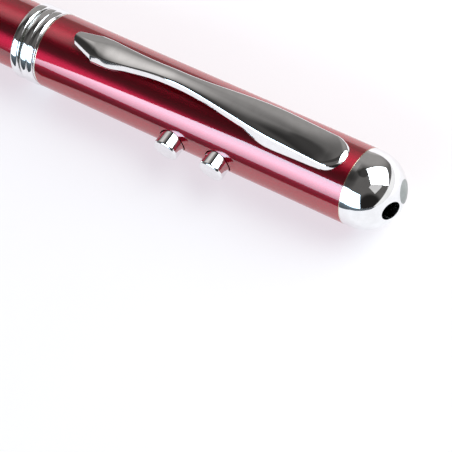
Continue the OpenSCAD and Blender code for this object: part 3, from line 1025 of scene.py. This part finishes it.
@dataclass
class FrontHalf:
    """The ring, the front barrel, the nose and the refill with its drive."""

    ring_r: float = 5.9465
    ring_len: float = 4.4
    ring_bore_r: float = 5.1
    foot_r: float = 5.45
    rim_r: float = 5.60
    crests: Triple = (0.24, 2.06, 3.26)
    crown_r: Triple = (2.2, 2.2, 1.9)
    shoulder_r: Triple = (0.40, 0.25, 0.30)
    back_r: Triple = (0.22, 0.20, 0.10)
    groove_step: Triple = (0.03, 0.01, 0.02)
    back_from_deg: float = 165.0
    crown_to_deg: float = 70.0
    shoulder_to_deg: float = 8.0
    # Sizes of the dark ring of painted shade in the ring's wide groove.
    shade_lap: Pair = (0.05, 0.03)
    shade_under: float = 0.04
    shade_edge: float = 0.02
    shade_sag: float = 0.30
    shade_steps: int = 8

    def ridge(self, k: int) -> list[Pair]:
        """The outline of one of the ring's ridges.

        Args:
            k: the ridge's number, from the front.

        Returns:
            (x, radius) points from its front foot to its rear foot.
        """
        x, crown, shoulder, back = self.crests[k], self.crown_r[k], self.shoulder_r[k], self.back_r[k]
        turn = self.crown_to_deg
        found = arc((x, self.ring_r - back), back, self.back_from_deg, 90, steps=6)
        found += arc((x, self.ring_r - crown), crown, 90, turn, steps=8)[1:]
        way = (math.cos(math.radians(turn)), math.sin(math.radians(turn)))
        corner = (found[-1][0] - shoulder * way[0], found[-1][1] - shoulder * way[1])
        return found + arc(corner, shoulder, turn, self.shoulder_to_deg, steps=8)[1:]

    def ring_band(self) -> Piece:
        """The ring with its three ridges: a wide groove after the first and a fine one after the second.

        Returns:
            The ring.
        """
        outline = [(0.0, self.ring_bore_r), (0.0, self.foot_r)]
        for k, groove_r in enumerate((self.foot_r, self.rim_r, self.rim_r)):
            outline += self.ridge(k)
            outline.append((outline[-1][0] + self.groove_step[k], groove_r))
        outline += [(self.ring_len, self.rim_r), (self.ring_len, self.ring_bore_r)]
        return turned("ring_band", outline, steps=192)

    def ring_groove_shade(self) -> Piece:
        """Painted shade in the ring's wide groove: a dark ring that stands in for the shade deep in the
        groove.

        Returns:
            The painted shade, one hollow ring.
        """
        low, high = self.ridge(0)[-1], self.ridge(1)[0]
        left, right = low[0] - self.shade_lap[0], high[0] + self.shade_lap[1]
        first, last = low[1] + self.shade_edge, high[1] - self.shade_edge
        deep = self.foot_r - self.shade_under
        outline = [(left, deep), (left, first)]
        for k in range(1, self.shade_steps):
            t = k / self.shade_steps
            outline.append((mix(left, right, t), mix(first, last, t) - self.shade_sag * t * (1 - t)))
        return turned("ring_groove_shade", outline + [(right, last), (right, deep)], steps=160)

    def build(self, finishes: Finishes) -> None:
        """Makes the ring and dresses the CAD nodes.

        Args:
            finishes: the pen's finishes.
        """
        fit(self.ring_band(), finishes.chrome, Body.FRONT, Slot.CHROME, "centre_ring")
        # A dark ring of painted shade fills the ring's wide groove.
        fit(self.ring_groove_shade(), finishes.painted_groove_shade, Body.FRONT, Slot.BLACK_PLASTIC)
        dress(finishes.chrome, "centre_ring", "nose_cone")
        dress(finishes.red, "front_barrel")
        dress(finishes.brass, "guide_tube", "sleeve_cap", "refill_tube")
        dress(finishes.black, "refill_carrier")
        dress(finishes.steel, "drive_pin", "refill_point", "point_ball")
        dress(finishes.ink, "refill_ink")


@dataclass
class PushButtons:
    """The two chrome buttons and the plungers under them."""

    def build(self, finishes: Finishes) -> None:
        """Dresses the CAD nodes in the pen's finishes."""
        dress(finishes.chrome, "laser_button", "lamp_button")
        dress(finishes.black, "laser_plunger", "lamp_plunger")


@dataclass
class Softbox:
    """A soft lamp: a lit rectangle that faces the pen, so the cross of wide and high points away from it."""

    name: str
    centre: Vector
    wide: Vector
    high: Vector
    width: float
    height: float
    radiance: float
    colour: Colour = (1.0, 1.0, 1.0)
    low: float = 1.0
    full_at: float = 0.5

    def weaken(self, lamp: bpy.types.AreaLight) -> None:
        """Lets the light fall off towards the lower edge.

        Args:
            lamp: the lamp's light.
        """
        tree = Nodes(lamp)
        split = tree.add("SeparateXYZ")
        tree.join(tree.add("NewGeometry").outputs["Parametric"], split.inputs[0])
        share = tree.span(split.outputs["Y"], From_Max=self.full_at, To_Min=self.low)
        tree.join(share, tree.nodes["Emission"].inputs["Strength"])

    def build(self) -> None:
        """Makes the lamp; it shows in reflections and not to the camera."""
        lamp = bpy.data.lights.new(self.name, "AREA")
        lamp.shape = "RECTANGLE"
        lamp.size, lamp.size_y = self.width, self.height
        lamp.energy = self.radiance * math.pi * self.width * self.height
        lamp.color = self.colour
        if self.low < 1.0:
            self.weaken(lamp)
        x_axis = self.wide.normalized()
        z_axis = x_axis.cross(self.high).normalized()
        y_axis = z_axis.cross(x_axis)
        turn = Matrix((x_axis, y_axis, z_axis)).transposed()
        holder = bpy.data.objects.new(self.name, lamp)
        holder.matrix_world = Matrix.Translation(self.centre) @ turn.to_4x4()
        holder.visible_camera = False
        bpy.context.scene.collection.objects.link(holder)
        LOG.info("lit %s", self.name)


@dataclass(frozen=True)
class Glow:
    """A soft lighter or darker part of the room, round one direction."""

    azimuth: float
    elevation: float
    inner: float
    outer: float
    level: float

    def toward(self) -> Triple:
        """The direction of the middle, as a unit vector."""
        az, el = math.radians(self.azimuth), math.radians(self.elevation)
        return (math.cos(az) * math.cos(el), math.sin(az) * math.cos(el), math.sin(el))


@dataclass
class Studio:
    """Floor, surroundings, lamps and camera."""

    floor_z: float = -5.95
    floor_size: float = 6.0
    floor_grain: float = 60.0
    floor_shade: float = 0.98
    floor_fade: Triple = (0.15, 0.8, 0.92)
    # Painted light: from y 5 to 30 mm, beyond the pen's far side, the floor's glow rises to 1.17 times,
    # brightening the floor over the shade that the side lamp casts behind the pen.
    far_side_painted_light: Triple = (0.005, 0.03, 1.17)
    card_lift: float = 0.05
    # The floor's glow, seen by the camera and in reflections; its lilac tint paints the colour of the pen's
    # shadow, where the glow outweighs the lit paper.
    fill: Colour = (0.608, 0.548, 0.592)
    paper: Colour = (0.330, 0.340, 0.312)
    room: float = 0.12
    warm: Colour = (1.0, 0.962, 0.935)
    glows: tuple[Glow, ...] = (
        Glow(106.0, 26.0, 18.0, 38.0, 0.20),
        Glow(112.0, -6.0, 8.0, 18.0, 0.15),
        Glow(163.0, 40.0, 4.0, 26.0, 0.50),
        Glow(150.0, 54.0, 4.0, 18.0, 0.14),
    )
    darks: tuple[Glow, ...] = (
        Glow(-47.0, 12.0, 21.0, 34.0, 0.85),
        Glow(112.0, 78.0, 12.0, 16.0, 0.60),
        Glow(-150.0, 48.0, 14.0, 30.0, 0.5),
        Glow(-172.0, 63.0, 10.0, 24.0, 0.45),
    )
    sweep: Glow = Glow(20.0, -60.0, 74.8, 76.2, 0.95)
    side_azimuth: float = -98.5
    azimuth: float = 0.900245864
    elevation: float = 0.967299019
    roll: float = -0.362616181
    target: Triple = (47.927, -16.507, 5.646)
    distance: float = 304.126
    focal_px: float = 2241.724
    picture_px: float = 452.0
    sensor: float = 36.0

    def plane(self, name: str, corners: Sequence[Pair], z: float) -> Piece:
        """Makes a flat sheet of the studio.

        Args:
            name: the sheet's name.
            corners: its corners in millimetres.
            z: its height in millimetres.

        Returns:
            The sheet.
        """
        mesh = bpy.data.meshes.new(name)
        points = [(x * MM, y * MM, z * MM) for x, y in corners]
        mesh.from_pydata(points, [], [tuple(range(len(corners)))])
        sheet = bpy.data.objects.new(name, mesh)
        bpy.context.scene.collection.objects.link(sheet)
        LOG.info("laid %s", name)
        return sheet

    def floor(self) -> None:
        """Lays the floor, which glows so that it stays pale where the pen shades it; the glow paints a lilac
        tint into the pen's shadow and extra light beyond the pen.
        """
        half = self.floor_size / 2 / MM
        corners = [(-half, -half), (half, -half), (half, half), (-half, half)]
        piece = self.plane("floor", corners, self.floor_z)
        tree = Tree("floor_paper")
        grain = tree.noise(tree.place(EVEN), self.floor_grain)
        shade = tuple(self.floor_shade * c for c in self.paper)
        tree.colour(grain, [(0.3, shade), (0.7, self.paper)])
        tree.settings(Roughness=0.9, Specular_IOR_Level=0.1)
        rays = tree.add("LightPath").outputs
        seen = tree.pair("MAXIMUM", rays["Is Camera Ray"], rays["Is Glossy Ray"])
        seen = tree.pair("MAXIMUM", seen, rays["Is Transmission Ray"])
        reach = tree.add("VectorMath", operation="LENGTH")
        tree.join(tree.place((1.0, 1.0, 0.0)), reach.inputs[0])
        beyond = tree.add("SeparateXYZ")
        tree.join(tree.place(EVEN), beyond.inputs[0])
        levels = []
        # The glow dims to 0.92 far from the pen; beyond the pen's far side it rises, painted light over the
        # shade there.
        for source, (near, far, level) in (
            (reach.outputs["Value"], self.floor_fade),
            (beyond.outputs["Y"], self.far_side_painted_light),
        ):
            levels.append(tree.span(source, From_Min=near, From_Max=far, To_Min=1.0, To_Max=level))
        strength = tree.pair("MULTIPLY", seen, tree.pair("MULTIPLY", *levels))
        # The glow's lilac tint paints the colour of the pen's shadow on the floor and in its reflections.
        glow = tree.add("Emission", Color=(*self.fill, 1.0))
        tree.join(strength, glow.inputs["Strength"])
        both = tree.add("AddShader")
        tree.join(tree.shader.outputs[0], both.inputs[0])
        tree.join(glow.outputs[0], both.inputs[1])
        tree.join(both.outputs[0], tree.nodes["Material Output"].inputs["Surface"])
        piece.data.materials.append(tree.material)

    def flag(self) -> None:
        """Lays the black card at the button side, which only reflections see."""
        left_edge = [(-900, -1036), (-2, -15.5), (3, -21), (8, -23.5), (15, -25), (40, -26.5)]
        right_edge = [(48, -27), (54, -50), (75, -64), (105, -75), (123, -68), (245, -140), (900, -560)]
        corners = left_edge + right_edge + [(900, -1600), (-900, -1600)]
        card = self.plane("black_card", corners, self.floor_z + self.card_lift)
        felt = Plastic("black_felt", (0.010, 0.010, 0.011), (0.020, 0.019, 0.020), 0.9, 300.0)
        card.data.materials.append(felt.make())
        # The card casts no shadow and lights nothing; it only paints dark bands into the pen's reflections.
        card.visible_camera = card.visible_diffuse = card.visible_shadow = card.visible_transmission = False

    def surroundings(self) -> None:
        """Sets the room: dim grey, with a pale sweep low behind the dome and soft lighter parts."""
        world = bpy.data.worlds.new("room")
        bpy.context.scene.world = world
        tree = Nodes(world)
        spot = tree.add("TexCoord").outputs["Generated"]

        def near(glow: Glow) -> Socket:
            """How near a direction is to a glow's middle.

            Args:
                glow: the glow.

            Returns:
                The socket that runs from 0 to the glow's level.
            """
            dot = tree.add("VectorMath", operation="DOT_PRODUCT")
            dot.inputs[1].default_value = glow.toward()
            tree.join(spot, dot.inputs[0])
            low, high = (math.cos(math.radians(a)) for a in (glow.outer, glow.inner))
            ranges = {"From_Min": low, "From_Max": high, "To_Max": glow.level}
            return tree.span(dot.outputs["Value"], interpolation_type="SMOOTHSTEP", **ranges)

        level = self.room
        for dark in self.darks:
            level = tree.pair("MULTIPLY", tree.pair("SUBTRACT", 1.0, near(dark)), level)
        for glow in self.glows:
            level = tree.pair("ADD", level, near(glow))
        pale = near(self.sweep)
        tint = tree.add("CombineColor")
        for slot, share in zip(tint.inputs, self.warm):
            tree.join(tree.pair("MAXIMUM", tree.pair("MULTIPLY", level, share), pale), slot)
        background = tree.nodes["Background"]
        tree.join(tint.outputs[0], background.inputs["Color"])
        background.inputs["Strength"].default_value = 1.0

    def lamps(self) -> None:
        """Places a wide lamp at the button side, a high one behind the dome and a weak one at its end."""
        az = math.radians(self.side_azimuth)
        out = Vector((math.cos(az), math.sin(az), 0.0))
        Softbox(
            "side_lamp", centre=out * 0.8 + Vector((0.045, 0.0, 0.355)),
            wide=Vector((-out.y, out.x, 0.0)), high=Vector((0.0, 0.0, 1.0)),
            width=0.815, height=0.73, radiance=5.1, colour=(0.82, 1.12, 1.36), low=0.35,
        ).build()
        Softbox(
            "back_lamp", centre=Vector((0.329, 0.252, 0.398)),
            wide=Vector((0.731, -0.679, -0.07)), high=Vector((0.315, 0.701, -0.639)),
            width=0.49, height=0.55, radiance=5.2, colour=(0.96, 1.05, 1.09),
        ).build()
        Softbox(
            "end_lamp", centre=Vector((0.431, -0.041, 0.389)),
            wide=Vector((0.105, 0.995, 0.0)), high=Vector((-0.703, 0.074, 0.707)),
            width=0.27, height=0.24, radiance=0.55,
        ).build()

    def camera(self) -> None:
        """Sets the camera at the photograph's viewing angle."""
        az, el = self.azimuth, self.elevation
        back = Vector((math.sin(az) * math.cos(el), -math.cos(az) * math.cos(el), math.sin(el)))
        level = Vector((math.cos(az), math.sin(az), 0.0))
        up = back.cross(level)
        right = math.cos(self.roll) * level + math.sin(self.roll) * up
        top = -math.sin(self.roll) * level + math.cos(self.roll) * up
        eye = bpy.data.cameras.new("camera")
        eye.sensor_width = self.sensor
        eye.lens = self.focal_px * self.sensor / self.picture_px
        eye.clip_start, eye.clip_end = 0.01, 20.0
        holder = bpy.data.objects.new("camera", eye)
        spot = (Vector(self.target) + back * self.distance) * MM
        holder.matrix_world = Matrix.Translation(spot) @ Matrix((right, top, back)).transposed().to_4x4()
        bpy.context.scene.collection.objects.link(holder)
        bpy.context.scene.camera = holder

    def build(self) -> None:
        """Makes the studio round the pen."""
        self.floor()
        self.flag()
        self.surroundings()
        self.lamps()
        self.camera()
        bpy.context.scene.view_settings.view_transform = "Standard"


def main() -> None:
    """Builds the pen's pieces and the studio in order."""
    logging.basicConfig(level=logging.INFO, format="%(name)s: %(message)s")
    finishes = Finishes()
    RearHalf().build(finishes)
    FrontHalf().build(finishes)
    PushButtons().build(finishes)
    PocketClip().build(finishes)
    Studio().build()
    bpy.context.view_layer.update()


if __name__ == "__main__":
    main()
